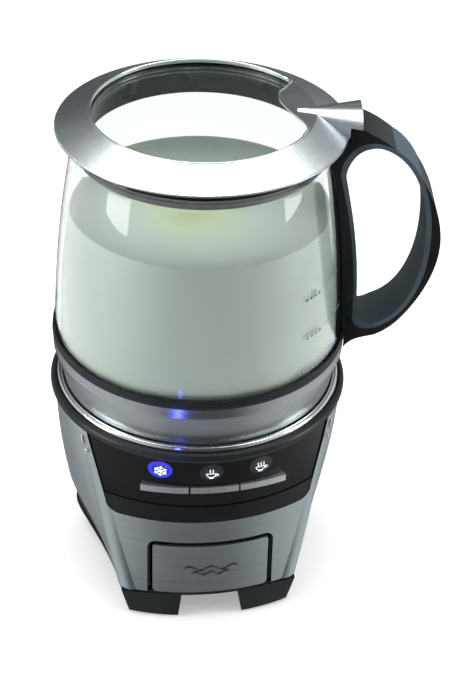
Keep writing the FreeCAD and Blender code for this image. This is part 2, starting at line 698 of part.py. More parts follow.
def handle_width():
    """Solid whose sides give the handle its width: slim at the spine, wide at the lower end."""
    tall = Part.Face(wire((-LOOP_HALF, 100), (LOOP_HALF, 100), (LOOP_HALF, 150), (ARM_HALF, 250),
                          (-ARM_HALF, 250), (-LOOP_HALF, 150), place=lambda a, b: V(40, a, b)))
    wide = Part.Face(wire((40, -SPINE_HALF), (67, -SPINE_HALF), (80, -LOOP_HALF), (115, -LOOP_HALF + 1),
                          (115, LOOP_HALF - 1), (80, LOOP_HALF), (67, SPINE_HALF), (40, SPINE_HALF),
                          place=lambda a, b: V(a, b, 90)))
    return tall.extrude(V(80, 0, 0)).common(wide.extrude(V(0, 0, 170)))


def ribbon(outline):
    face = Part.Face(outline)
    face.translate(V(0, -20, 0))
    return face.extrude(V(0, 40, 0))


def jug_clearance():
    """The space taken by the jug's wall, band and lid next to the handle."""
    start, barrel, neck = glass_outline(0.15)
    rim = RIM_RADIUS + 0.7
    return turned((0, 100), (BAND_RADIUS + 0.02, 100), (BAND_RADIUS + 0.3, BAND_LOW + 1.2),
                  (BAND_RADIUS + 0.02, BAND_HIGH), start, barrel, neck, (LIP[0] + 0.15, LIP[1] + 0.6),
                  (rim, LIP[1] + 0.6), (rim, 260), (0, 260))


def handle_frame():
    frame = ribbon(loop_outline()).cut(ribbon(hole_outline(GRIP_THICK)))
    frame = frame.common(handle_width()).cut(jug_clearance())
    for y in (-HANDLE_SCREW_PLACE, HANDLE_SCREW_PLACE):
        frame = frame.cut(rod(SCREW_RADIUS + 0.1, 110, HANDLE_SCREW_TOP + 0.1, HANDLE_SCREW_X, y))
        frame = frame.cut(rod(2.8, 110, HANDLE_SCREW_LOW + 1.7, HANDLE_SCREW_X, y))
    return frame


def handle_grip():
    lining = ribbon(hole_outline(GRIP_THICK)).cut(ribbon(hole_outline()))
    lining = lining.common(handle_width()).cut(jug_clearance())
    for y in (-HANDLE_SCREW_PLACE, HANDLE_SCREW_PLACE):
        lining = lining.cut(rod(SCREW_RADIUS + 0.1, 110, HANDLE_SCREW_TOP + 0.1, HANDLE_SCREW_X, y))
    return lining


def handle_screws():
    """Screws that hold the grip in the frame, reached from below."""
    screws = []
    for y in (-HANDLE_SCREW_PLACE, HANDLE_SCREW_PLACE):
        screws.append(fuse(rod(2.6, HANDLE_SCREW_LOW, HANDLE_SCREW_LOW + 1.6, HANDLE_SCREW_X, y),
                           rod(SCREW_RADIUS, HANDLE_SCREW_LOW + 1.6, HANDLE_SCREW_TOP, HANDLE_SCREW_X, y)))
    return Part.makeCompound(screws)


# ---------------------------------------------------------------- lid
def s_edge():
    """The wavy end of the window, from the rear of the lid to its front."""
    curve = Part.BSplineCurve()
    curve.interpolate([V(x, y, 0) for x, y in ((40.4, 27.6), (37.4, 22.2), (34.3, 17.6), (33.8, 11.0), (35.6, 4.0),
                                               (39.0, -3.4), (42.6, -10.0), (44.6, -17.0), (42.4, -24.6))])
    return curve.toShape()


def nose_side():
    """Steel part of the lid inside the window's circle, on the handle's side."""
    edge = s_edge()
    start = edge.Vertexes[0].Point
    end = edge.Vertexes[-1].Point
    outer = [V(60, -30, 0), V(60, 34, 0)]
    lines = [Part.LineSegment(end, outer[0]).toShape(), Part.LineSegment(outer[0], outer[1]).toShape(),
             Part.LineSegment(outer[1], start).toShape()]
    face = Part.Face(Part.Wire([edge] + lines))
    face.translate(V(0, 0, WINDOW_LIP - COVER_WALL))
    return face.extrude(V(0, 0, COVER_WALL)).common(rod(WINDOW_RADIUS + 0.6, 200, 260))


def nose(shrink):
    """Raised nose over the handle: a half cone that grows towards its tip."""
    def arch(x, half, base, top):
        half -= shrink
        top -= shrink
        shoulder = half * 0.64
        height = blend(base, top, 0.8)
        return Part.Wire([Part.Arc(V(x, -half, base), V(x, -shoulder, height), V(x, 0, top)).toShape(),
                          Part.Arc(V(x, 0, top), V(x, shoulder, height), V(x, half, base)).toShape(),
                          Part.LineSegment(V(x, half, base), V(x, -half, base)).toShape()])
    inner = arch(NOSE_START - shrink, 2.6, WINDOW_LIP - 4, WINDOW_LIP + 0.7)
    tip = arch(NOSE_TIP + shrink, NOSE_HALF, RIM_HEIGHT - 2.6, NOSE_TOP)
    return Part.makeLoft([inner, tip], True, True)


def steel_cover():
    """Brushed steel ring of the lid, with the nose."""
    slope = turned((RIM_RADIUS - 0.4, RIM_HEIGHT - 0.9), (RIM_RADIUS, RIM_HEIGHT - 0.4, RIM_RADIUS - 0.5, RIM_HEIGHT),
                   (WINDOW_RADIUS + 0.8, WINDOW_LIP), (WINDOW_RADIUS, WINDOW_LIP - 0.3),
                   (WINDOW_RADIUS, WINDOW_LIP - COVER_WALL - 0.6), (WINDOW_RADIUS + 0.8, WINDOW_LIP - COVER_WALL),
                   (RIM_RADIUS - 2.0, RIM_HEIGHT - 0.9))
    middle = WINDOW_LIP - COVER_WALL / 2
    cone = turned((0, RIM_HEIGHT - 3), (RIM_RADIUS - 2.0, RIM_HEIGHT - 0.7), (WINDOW_RADIUS + 0.8, middle),
                  (0, middle))
    below = turned((0, 200), (90, 200), (90, RIM_HEIGHT + 3.6), (RIM_RADIUS + 0.4, RIM_HEIGHT + 3.6),
                   (RIM_RADIUS + 0.4, RIM_HEIGHT - 0.9), (0, RIM_HEIGHT - 0.9))
    hood = nose(0).cut(nose(COVER_WALL)).cut(cone).cut(below)
    return fuse(slope, nose_side(), hood)


def window_pane():
    """Clear pane held under the steel cover."""
    return turned((0, PANE_LOW), (WINDOW_RADIUS + 2.0, PANE_LOW), (WINDOW_RADIUS + 2.0, PANE_LOW + 1.4),
                  (WINDOW_RADIUS - 0.4, PANE_LOW + PANE_THICK), (0, PANE_LOW + PANE_THICK))


def carrier_ring():
    """Black ring that joins the cover, the pane and the skirt."""
    return turned((SKIRT_RADIUS - 2.2, PANE_LOW - 2.2), (SKIRT_RADIUS + 2, LIP[1] + 2.4),
                  (RIM_RADIUS - 1.6, LIP[1] + 2.4), (RIM_RADIUS - 1.2, RIM_HEIGHT - 1.4),
                  (RIM_RADIUS - 3.0, RIM_HEIGHT - 1.0), (WINDOW_RADIUS + 2.2, WINDOW_LIP - 2.6),
                  (WINDOW_RADIUS + 2.2, PANE_LOW - 0.1), (WINDOW_RADIUS - 0.6, PANE_LOW - 0.1),
                  (WINDOW_RADIUS - 0.6, PANE_LOW - 2.2))


def lid_skirt():
    """Collar of the lid that reaches down inside the jug's neck."""
    top = PANE_LOW - 2.3
    return turned((SKIRT_RADIUS - 1.8, SKIRT_LOW), (SKIRT_RADIUS, SKIRT_LOW), (SKIRT_RADIUS, LIP[1] + 1.2),
                  (SKIRT_RADIUS - 2.4, top), (WINDOW_RADIUS - 0.6, top), (SKIRT_RADIUS - 3.4, top - 3))


def lid_seal():
    """Gasket around the skirt."""
    return turned((SKIRT_RADIUS + 0.05, 223.0), (SKIRT_RADIUS + 1.4, 223.4), (SKIRT_RADIUS + 1.9, 225.0),
                  (SKIRT_RADIUS + 1.4, 226.6), (SKIRT_RADIUS + 0.05, 227.0))


# ---------------------------------------------------------------- the whole
def pieces():
    base = {
        "steel_wrap": gland_hole(steel_wrap(), GLAND_FLANGE + 0.4),
        "inner_housing": gland_hole(inner_housing(), GLAND_SLEEVE + 0.1),
        "bottom_cover": bottom_cover(),
        "rubber_pads": rubber_pads(),
        "base_screws": base_screws(),
        "top_collar": top_collar(),
        "seat_ring": seat_ring(),
        "seat_well": seat_well(),
        "control_panel": control_panel(),
        "panel_trim": panel_trim(),
        "icon_lenses": icon_lenses(),
        "button_cold": button(-1),
        "button_warm": button(0),
        "button_hot": button(1),
        "tact_switches": tact_switches(),
        "control_board": control_board(),
        "indicator_lights": indicator_lights(),
        "drawer_front": drawer_front(),
        "drawer_tray": drawer_tray(),
        "heating_disc": stored_disc(TRAY_LOW + TRAY_WALL + 0.1, 19.0, 3),
        "cocoa_disc": stored_disc(TRAY_LOW + TRAY_WALL + 6.4, 19.0, 4),
        "induction_coil": induction_coil(),
        "coil_former": coil_former(),
        "ferrite_bars": ferrite_bars(),
        "temperature_sensor": temperature_sensor(),
        "drive_motor": drive_motor(),
        "motor_mount": motor_mount(),
        "motor_shaft": motor_shaft(),
        "magnet_rotor": magnet_rotor(),
        "rotor_magnets": rotor_magnets(),
        "power_board": power_board(),
        "heat_sink": heat_sink(),
        "capacitors": capacitors(),
        "cord_gland": cord_gland(),
    }
    jug = {
        "jug_glass": jug_glass(),
        "jug_band": jug_band(),
        "jug_steel_cup": jug_steel_cup(),
        "jug_gasket": jug_gasket(),
        "stirrer_pin": stirrer_pin(),
        "frothing_disc": frothing_disc(),
        "disc_magnets": disc_magnets(),
        "whisk_ring": whisk_ring(),
        "handle_frame": handle_frame(),
        "handle_grip": handle_grip(),
        "handle_screws": handle_screws(),
        "lid_steel_cover": steel_cover(),
        "lid_window": window_pane(),
        "lid_carrier_ring": carrier_ring(),
        "lid_skirt": lid_skirt(),
        "lid_seal": lid_seal(),
    }
    for shape in jug.values():
        shape.rotate(AXIS, UP, JUG_TURN)
    return {**base, **jug}


def main():
    os.makedirs("parts", exist_ok=True)
    shapes = pieces()
    box = FreeCAD.BoundBox()
    for shape in shapes.values():
        box.add(shape.optimalBoundingBox(False, False))
    shift = V(-(box.XMin + box.XMax) / 2, -(box.YMin + box.YMax) / 2, -box.ZMin)
    print("box", round(box.XLength, 3), round(box.YLength, 3), round(box.ZLength, 3))
    print("jug axis", round(shift.x, 4), round(shift.y, 4), "ground", round(shift.z, 4))
    for name, shape in shapes.items():
        shape.translate(shift)
        shape.exportStep("parts/" + name + ".step")
        print(name, len(shape.Solids), shape.isValid(), round(shape.Volume / 1000, 2))


main()
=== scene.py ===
import bpy
import math
from bpy.props import FloatProperty, FloatVectorProperty, IntProperty, PointerProperty
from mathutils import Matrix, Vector


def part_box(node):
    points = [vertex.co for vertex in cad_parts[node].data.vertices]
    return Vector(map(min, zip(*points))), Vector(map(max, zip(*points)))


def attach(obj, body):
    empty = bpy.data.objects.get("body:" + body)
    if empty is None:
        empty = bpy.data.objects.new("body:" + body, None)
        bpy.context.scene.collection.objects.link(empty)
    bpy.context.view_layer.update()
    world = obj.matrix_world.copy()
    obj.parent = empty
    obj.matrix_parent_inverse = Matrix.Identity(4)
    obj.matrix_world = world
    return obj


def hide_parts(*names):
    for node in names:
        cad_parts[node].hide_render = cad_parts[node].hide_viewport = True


bl_info = {
    "name": "Milk Frother Workshop",
    "version": (1, 0, 0),
    "blender": (4, 5, 0),
    "location": "View3D > Sidebar > Frother",
    "description": "Finishes and fine pieces for an induction milk frother with a lidded glass jug",
    "category": "Object",
}

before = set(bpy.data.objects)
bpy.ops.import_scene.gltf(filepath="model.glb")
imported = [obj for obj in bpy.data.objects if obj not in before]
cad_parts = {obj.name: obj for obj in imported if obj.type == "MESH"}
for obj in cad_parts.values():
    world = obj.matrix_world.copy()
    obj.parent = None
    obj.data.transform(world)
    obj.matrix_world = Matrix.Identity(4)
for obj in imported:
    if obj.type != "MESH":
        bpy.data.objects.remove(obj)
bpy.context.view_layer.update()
MM = 0.001
COLLAR_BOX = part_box("top_collar")
AXIS_X = (COLLAR_BOX[0].x + COLLAR_BOX[1].x) / 2
AXIS_Y = (COLLAR_BOX[0].y + COLLAR_BOX[1].y) / 2
JUG_TURN = math.radians(-6.5)
GLASS_IOR = 1.45

# Milk against the glass and its surface, each as radius and height in millimetres.
MILK_WALL = ((30, 112), (30, 96.3), (55, 96.3), (58.4, 98.8), (61.2, 120), (61.6, 125.4), (63.0, 127.0),
             (63.55, 131.6), (63.35, 140), (63.0, 150), (62.25, 160), (61.4, 170), (60.2, 180), (58.7, 190))
MILK_SURFACE = ((57.9, 0.3), (57.4, 0.1), (55.5, -0.2), (50, -0.3), (42, -0.45), (34, -0.8), (27, -1.6),
                (21, -2.7), (15, -3.6), (9, -4.1), (4, -4.2), (1, -4.2))
SURFACE_DIP = 0.0042
# Fill marks: height and glass radius in millimetres, first and last angle of the tick in degrees.
FILL_MARKS = ((171.0, 63.97, -39.5, -25.5), (152.0, 65.47, -39.5, -23.5), (135.0, 66.14, -42.5, -28.5))
TICK_HEIGHT = 0.00045
DASH_HEIGHT = 0.0015
# The panel's front falls back by the square of the distance from its middle, over this length.
PANEL_BEND = 0.1340
PANEL_LEAN = 0.155
SYMBOL_LINE = 0.00019
# Round edge of the lid's window and its wavy end by the nose, from the jug's axis, in millimetres.
WINDOW_RADIUS = 48.6
WINDOW_HEIGHT = 239.0
WINDOW_START, WINDOW_END = math.radians(36.5), math.radians(328.8)
WINDOW_WAVE = ((42.3, -23.0), (44.5, -17.0), (42.5, -10.0), (38.9, -3.4), (35.5, 4.0), (33.7, 11.0),
               (34.2, 17.6), (37.2, 22.2))
# Moulded mark in the skirt: first and last angle in degrees, low edge and height in millimetres.
SKIRT_RIBS = ((58, 58.9, 226.6, 4.6), (70, 70.9, 226.6, 4.6), (58, 70.9, 226.2, 0.7))
# Clips at the panel's ends: place and length in millimetres.
PANEL_CLIPS = ((57.4, -37.9, 93.6, 4.6), (56.0, -40.3, 88.4, 2.6))
# Waves on the drawer: rise, half width and swing.
DRAWER_WAVES = ((0.0016, 0.013, 0.0011), (-0.0014, 0.009, 0.0009))
DRAWER_BEND = 4.6


# ---------------------------------------------------------------- sizes and colours
class FrotherFinishSettings(bpy.types.PropertyGroup):
    """Colours of the frother's own materials"""
    steel: FloatVectorProperty(name="Brushed steel", description="Colour of the brushed steel sheet",
                               subtype="COLOR", size=3, min=0, max=1, default=(0.52, 0.58, 0.59))
    lid_steel: FloatVectorProperty(name="Lid steel", description="Colour of the lid's brushed ring",
                                   subtype="COLOR", size=3, min=0, max=1, default=(0.50, 0.54, 0.56))
    black: FloatVectorProperty(name="Black plastic", description="Colour of the satin black mouldings",
                               subtype="COLOR", size=3, min=0, max=1, default=(0.009, 0.011, 0.012))
    grip: FloatVectorProperty(name="Grip", description="Colour of the handle's soft lining",
                              subtype="COLOR", size=3, min=0, max=1, default=(0.052, 0.072, 0.085))
    milk: FloatVectorProperty(name="Milk", description="Colour of the milk", subtype="COLOR", size=3,
                              min=0, max=1, default=(0.62, 0.70, 0.62))
    glow: FloatVectorProperty(name="Cold light", description="Colour of the lit cold symbol", subtype="COLOR",
                              size=3, min=0, max=1, default=(0.03, 0.03, 1.0))
    glow_strength: FloatProperty(name="Light strength", description="Strength of the lit cold symbol",
                                 min=0, default=1.3)


class FrotherMilkSettings(bpy.types.PropertyGroup):
    """Sizes of the milk in the jug"""
    level: FloatProperty(name="Level", description="Height of the milk's surface above the ground",
                         unit="LENGTH", default=0.1935)
    dip: FloatProperty(name="Dip", description="Depth of the hollow that the turning disc draws",
                       unit="LENGTH", default=0.004)
    sides: IntProperty(name="Sides", description="Number of sides round the milk", min=24, default=128)


class FrotherDetailSettings(bpy.types.PropertyGroup):
    """Sizes of the symbols, the marks and the bright edges"""
    symbol: FloatProperty(name="Symbol size", description="Half the width of a symbol over its button",
                          unit="LENGTH", default=0.0029)
    symbol_height: FloatProperty(name="Symbol height", description="Height of the symbols above the ground",
                                 unit="LENGTH", default=0.0924)
    symbol_shift: FloatProperty(name="Symbol shift", unit="LENGTH", default=-0.0018,
                                description="How far the symbols stand off their buttons' middles")
    symbol_spacing: FloatProperty(name="Symbol spacing", description="Distance from one symbol to the next",
                                  unit="LENGTH", default=0.0227)
    print_thickness: FloatProperty(name="Print thickness", description="Thickness of a printed mark",
                                   unit="LENGTH", default=0.00012)
    bead: FloatProperty(name="Window bead", description="Radius of the bright bead round the lid's window",
                        unit="LENGTH", default=0.00045)
    whisk_coils: IntProperty(name="Whisk coils", description="Number of coils round the whisk", min=12,
                             default=44)


class FrotherStageSettings(bpy.types.PropertyGroup):
    """Camera and light"""
    eye: FloatVectorProperty(name="Camera place", description="Place of the camera", subtype="TRANSLATION",
                             unit="LENGTH", size=3, default=(-0.115636, -0.703995, 0.603654))
    turn: FloatVectorProperty(name="Camera turn", description="Turn of the camera about X, Y and Z",
                              subtype="EULER", unit="ROTATION", size=3,
                              default=(math.radians(55.3833), math.radians(-1.5867), math.radians(-8.1627)))
    lens: FloatProperty(name="Lens", description="Focal length in millimetres on a 36 mm sensor", min=10,
                        default=94.63)
    top_power: FloatProperty(name="Top light", description="Power of the large light above", unit="POWER",
                             min=0, default=15.0)
    floor_glow: FloatProperty(name="Floor glow", description="Light given off by the pale floor", min=0,
                              default=0.34)
    room: FloatProperty(name="Room light", description="Strength of the light from all round", min=0,
                        default=0.27)


# ---------------------------------------------------------------- modelling helpers
def deselect_all():
    if bpy.context.object is not None and bpy.context.object.mode != "OBJECT":
        bpy.ops.object.mode_set(mode="OBJECT")
    bpy.ops.object.select_all(action="DESELECT")


def settle(piece):
    """Moves a piece's place into its mesh, with the piece alone selected."""
    deselect_all()
    piece.select_set(True)
    bpy.context.view_layer.objects.active = piece
    bpy.ops.object.transform_apply(location=True, rotation=True, scale=True)
    return piece


def start_piece(name):
    """Names the primitive just added and opens it for modelling, its place already in its mesh."""
    piece = settle(bpy.context.object)
    piece.name = name
    piece.data.name = name
    bpy.ops.object.mode_set(mode="EDIT")
    bpy.ops.mesh.select_all(action="SELECT")
    return piece


def close_piece(piece, smooth=35):
    """Merges doubles, turns the faces outwards and shades the piece smooth up to an angle."""
    bpy.ops.mesh.select_all(action="SELECT")
    bpy.ops.mesh.remove_doubles(threshold=0.000002)
    bpy.ops.mesh.normals_make_consistent(inside=False)
    bpy.ops.object.mode_set(mode="OBJECT")
    if smooth:
        bpy.ops.object.shade_smooth_by_angle(angle=math.radians(smooth))
    return piece


def apply_modifiers(piece):
    deselect_all()
    piece.select_set(True)
    bpy.context.view_layer.objects.active = piece
    for modifier in list(piece.modifiers):
        bpy.ops.object.modifier_apply(modifier=modifier.name)
    return piece


def join_pieces(name, parts):
    deselect_all()
    for part in parts:
        part.select_set(True)
    bpy.context.view_layer.objects.active = parts[0]
    bpy.ops.object.join()
    parts[0].name = name
    parts[0].data.name = name
    return parts[0]


def lathe(name, rings, sides, smooth=35):
    """Form turned about the jug's axis: a circle is extruded and resized from ring to ring."""
    deselect_all()
    radius, height = rings[0]
    bpy.ops.mesh.primitive_circle_add(vertices=sides, radius=radius, location=(AXIS_X, AXIS_Y, height))
    piece = start_piece(name)
    for next_radius, next_height in rings[1:]:
        bpy.ops.mesh.extrude_region_move(TRANSFORM_OT_translate={"value": (0, 0, next_height - height)})
        share = next_radius / radius
        bpy.ops.transform.resize(value=(share, share, 1), center_override=(AXIS_X, AXIS_Y, next_height))
        radius, height = next_radius, next_height
    bpy.ops.mesh.select_all(action="SELECT")
    bpy.ops.mesh.fill_holes(sides=0)
    return close_piece(piece, smooth)


def bar(name, centre, size, turn=(0, 0, 0), soft=0.2):
    """Small bar with softened edges: soft is the bevel as a share of its least side."""
    deselect_all()
    bpy.ops.mesh.primitive_cube_add(size=1, location=centre, rotation=turn, scale=size)
    piece = start_piece(name)
    bpy.ops.mesh.bevel(offset=min(size) * soft, segments=2, affect="EDGES")
    return close_piece(piece, 40)


def tube_line(name, points, radius, closed=False, sides=2):
    """Round wire through points, made a mesh."""
    deselect_all()
    bpy.ops.curve.primitive_bezier_curve_add(location=(0, 0, 0))
    wire = bpy.context.object
    line = wire.data
    line.splines.clear()
    spline = line.splines.new("BEZIER")
    spline.bezier_points.add(len(points) - 1)
    for knot, point in zip(spline.bezier_points, points):
        knot.co = point
        knot.handle_left_type = "AUTO"
        knot.handle_right_type = "AUTO"
    spline.use_cyclic_u = closed
    line.dimensions = "3D"
    line.resolution_u = 10
    line.bevel_depth = radius
    line.bevel_resolution = sides
    line.use_fill_caps = True
    bpy.ops.object.convert(target="MESH")
    piece = bpy.context.object
    piece.name = name
    piece.data.name = name
    bpy.ops.object.mode_set(mode="EDIT")
    return close_piece(piece, 60)


def turned_spot(radius, angle, height):
    """Point about the jug's axis."""
    return Vector((AXIS_X + radius * math.cos(angle), AXIS_Y + radius * math.sin(angle), height))


def on_jug(x, y, z):
    """Point given from the jug's axis along its handle, in millimetres."""
    c, s = math.cos(JUG_TURN), math.sin(JUG_TURN)
    return Vector((AXIS_X + (x * c - y * s) * MM, AXIS_Y + (x * s + y * c) * MM, z * MM))


def finish_piece(piece, body, material):
    piece.data.materials.clear()
    piece.data.materials.append(material)
    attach(piece, body)
    return piece


# ---------------------------------------------------------------- materials
class Finish:
    """Node material that is built up from named layers on Object coordinates."""

    def __init__(self, name):
        self.material = bpy.data.materials.new(name)
        self.material.use_nodes = True
        self.tree = self.material.node_tree
        self.shader = self.tree.nodes["Principled BSDF"]
        self.coordinates = self.add("ShaderNodeTexCoord").outputs["Object"]

    def add(self, kind, **values):
        node = self.tree.nodes.new(kind)
        for key, value in values.items():
            setattr(node, key, value)
        return node

    def link(self, source, target):
        self.tree.links.new(source, target)

    def uniform(self, **values):
        for key, value in values.items():
            self.shader.inputs[key.replace("_", " ")].default_value = value
        return self

    def mapped(self, scale, place=(0, 0, 0)):
        mapping = self.add("ShaderNodeMapping")
        mapping.inputs["Location"].default_value = place
        mapping.inputs["Scale"].default_value = scale
        self.link(self.coordinates, mapping.inputs["Vector"])
        return mapping.outputs["Vector"]

    def noise(self, scale, detail=4.0, roughness=0.55, size=1.0):
        noise = self.add("ShaderNodeTexNoise")
        noise.inputs["Scale"].default_value = size
        noise.inputs["Detail"].default_value = detail
        noise.inputs["Roughness"].default_value = roughness
        self.link(self.mapped(scale), noise.inputs["Vector"])
        return noise.outputs["Fac"]

    def ranged(self, source, low, high, start=0.3, end=0.7):
        node = self.add("ShaderNodeMapRange")
        for key, value in (("From Min", start), ("From Max", end), ("To Min", low), ("To Max", high)):
            node.inputs[key].default_value = value
        self.link(source, node.inputs["Value"])
        return node.outputs["Result"]

    def ramp(self, source, stops):
        node = self.add("ShaderNodeValToRGB")
        elements = node.color_ramp.elements
        while len(elements) < len(stops):
            elements.new(0.5)
        for element, (place, colour) in zip(elements, stops):
            element.position = place
            element.color = (*colour, 1)
        self.link(source, node.inputs["Fac"])
        return node.outputs["Color"]

    def bump(self, source, strength, distance):
        node = self.add("ShaderNodeBump")
        node.inputs["Strength"].default_value = strength
        node.inputs["Distance"].default_value = distance
        self.link(source, node.inputs["Height"])
        self.link(node.outputs["Normal"], self.shader.inputs["Normal"])
        return self

    def coloured(self, source, dark, light, start=0.3, end=0.7):
        self.link(self.ramp(source, ((start, dark), (end, light))), self.shader.inputs["Base Color"])
        return self

    def roughened(self, source, low, high):
        self.link(self.ranged(source, low, high), self.shader.inputs["Roughness"])
        return self


def shade(colour, share):
    return tuple(min(1.0, c * share) for c in colour)


def brushed(name, colour, grain, rough=(0.24, 0.40), spread=0.16, depth=0.05):
    """Brushed metal: fine long streaks, with slow cloudy changes in their gloss."""
    finish = Finish(name)
    streaks = finish.noise(grain, detail=6.0, roughness=0.7)
    clouds = finish.noise((22, 22, 22), detail=2.0)
    finish.uniform(Metallic=1.0)
    finish.coloured(streaks, shade(colour, 1 - spread), shade(colour, 1 + spread), 0.25, 0.75)
    mixed = finish.add("ShaderNodeMath", operation="ADD")
    half = finish.add("ShaderNodeMath", operation="MULTIPLY")
    half.inputs[1].default_value = 0.5
    finish.link(streaks, mixed.inputs[0])
    finish.link(clouds, mixed.inputs[1])
    finish.link(mixed.outputs[0], half.inputs[0])
    finish.roughened(half.outputs[0], *rough)
    finish.bump(streaks, depth, 0.0002)
    return finish.material


def moulded(name, colour, rough=(0.32, 0.44), grain=2600, depth=0.06, light=1.7, gloss=0.22):
    """Moulded plastic: fine grain, faint mottling, and rubbed spots that shine a little more."""
    finish = Finish(name)
    fine = finish.noise((grain,) * 3, detail=2.0)
    slow = finish.noise((30, 30, 30), detail=3.0)
    finish.coloured(slow, colour, shade(colour, light))
    finish.roughened(slow, *rough)
    finish.bump(fine, depth, 0.00012)
    finish.uniform(Specular_IOR_Level=gloss)
    return finish.material


def clear_glass(name, tint):
    """Clear glass with a faint green tint that drifts along it."""
    finish = Finish(name)
    slow = finish.noise((14, 14, 9), detail=1.0)
    finish.coloured(slow, shade(tint, 0.985), tint)
    finish.uniform(Transmission_Weight=1.0, IOR=GLASS_IOR, Roughness=0.0)
    return finish.material


def milk_finish(settings):
    """Milk, with painted light and shade in its colour: darker and yellower near the axis, palest in a ring
    round it and darker towards the glass, with soft clouds and fine bubbles.
    """
    finish = Finish("fresh_milk")
    centre = finish.mapped((1, 1, 0.25), (-AXIS_X + 0.004, -AXIS_Y + 0.004, -0.048))
    length = finish.add("ShaderNodeVectorMath", operation="LENGTH")
    finish.link(centre, length.inputs[0])
    clouds = finish.noise((38, 38, 26), detail=2.0)
    mixed = finish.add("ShaderNodeMath", operation="MULTIPLY_ADD")
    mixed.inputs[1].default_value = 0.018
    finish.link(clouds, mixed.inputs[0])
    finish.link(length.outputs["Value"], mixed.inputs[2])
    # Painted light and shade: darker and yellower by the axis, palest in a ring round it, darker again
    # towards the glass.
    painted_shade_centre = (0.55, 0.64, 0.36)
    colour = tuple(settings.milk)
    painted_light_tone = finish.ramp(finish.ranged(mixed.outputs[0], 0, 1, 0.008, 0.080),
                       ((0.0, painted_shade_centre), (0.22, (0.66, 0.74, 0.53)), (0.42, colour), (1.0, shade(colour, 0.88))))
    finish.link(painted_light_tone, finish.shader.inputs["Base Color"])
    bubbles = finish.add("ShaderNodeTexVoronoi")
    bubbles.inputs["Scale"].default_value = 700
    finish.link(finish.coordinates, bubbles.inputs["Vector"])
    finish.bump(bubbles.outputs["Distance"], 0.05, 0.0002)
    finish.roughened(clouds, 0.30, 0.42)
    finish.uniform(Subsurface_Weight=0.25, Subsurface_Radius=(0.006, 0.006, 0.005), Subsurface_Scale=1.0)
    return finish.material


def lens_finish(settings):
    """Smoked lens discs: the cold one is lit blue, most of all round its edge."""
    finish = Finish("smoked_lenses")
    detail = bpy.context.scene.frother_details
    centre_x = AXIS_X - detail.symbol_spacing + detail.symbol_shift
    place = finish.mapped((1, 0, 1), (-centre_x, 0, -detail.symbol_height))
    length = finish.add("ShaderNodeVectorMath", operation="LENGTH")
    finish.link(place, length.inputs[0])
    level = finish.ranged(length.outputs["Value"], 0, 1, 0.0, 0.0070)
    light = finish.ramp(level, ((0.0, (0.02, 0.02, 0.16)), (0.40, (0.006, 0.006, 0.12)),
                                (0.68, tuple(settings.glow)), (0.80, (0, 0, 0))))
    finish.link(light, finish.shader.inputs["Emission Color"])
    finish.uniform(Emission_Strength=settings.glow_strength)
    slow = finish.noise((60, 60, 60))
    finish.coloured(slow, (0.006, 0.006, 0.008), (0.012, 0.012, 0.016))
    finish.roughened(slow, 0.08, 0.16)
    return finish.material


def printed(name, colour, glow=0.0):
    """Printed mark with slightly uneven ink; a glow makes it give off light of its own colour."""
    finish = Finish(name)
    ink = finish.noise((900, 900, 900), detail=3.0)
    finish.coloured(ink, shade(colour, 0.86), colour)
    finish.roughened(ink, 0.35, 0.5)
    if glow:
        finish.uniform(Emission_Color=(*colour, 1), Emission_Strength=glow)
    return finish.material


def wound(name, colour):
    """Lacquered copper wire: fine turns round the axis."""
    finish = Finish(name)
    length = finish.add("ShaderNodeVectorMath", operation="LENGTH")
    finish.link(finish.mapped((1, 1, 0), (-AXIS_X, -AXIS_Y, 0)), length.inputs[0])
    turns = finish.add("ShaderNodeMath", operation="MULTIPLY")
    turns.inputs[1].default_value = 9000
    wave = finish.add("ShaderNodeMath", operation="SINE")
    finish.link(length.outputs["Value"], turns.inputs[0])
    finish.link(turns.outputs[0], wave.inputs[0])
    finish.coloured(wave.outputs[0], shade(colour, 0.6), colour, 0.0, 0.9)
    finish.uniform(Metallic=0.8, Roughness=0.35)
    finish.bump(wave.outputs[0], 0.3, 0.0002)
    return finish.material


def circuit(name):
    """Green circuit board with paler tracks."""
    finish = Finish(name)
    tracks = finish.add("ShaderNodeTexVoronoi", distance="MANHATTAN", feature="DISTANCE_TO_EDGE")
    tracks.inputs["Scale"].default_value = 220
    finish.link(finish.coordinates, tracks.inputs["Vector"])
    finish.coloured(tracks.outputs["Distance"], (0.02, 0.16, 0.06), (0.008, 0.07, 0.025), 0.05, 0.12)
    finish.uniform(Roughness=0.4)
    finish.bump(tracks.outputs["Distance"], 0.15, 0.0002)
    return finish.material


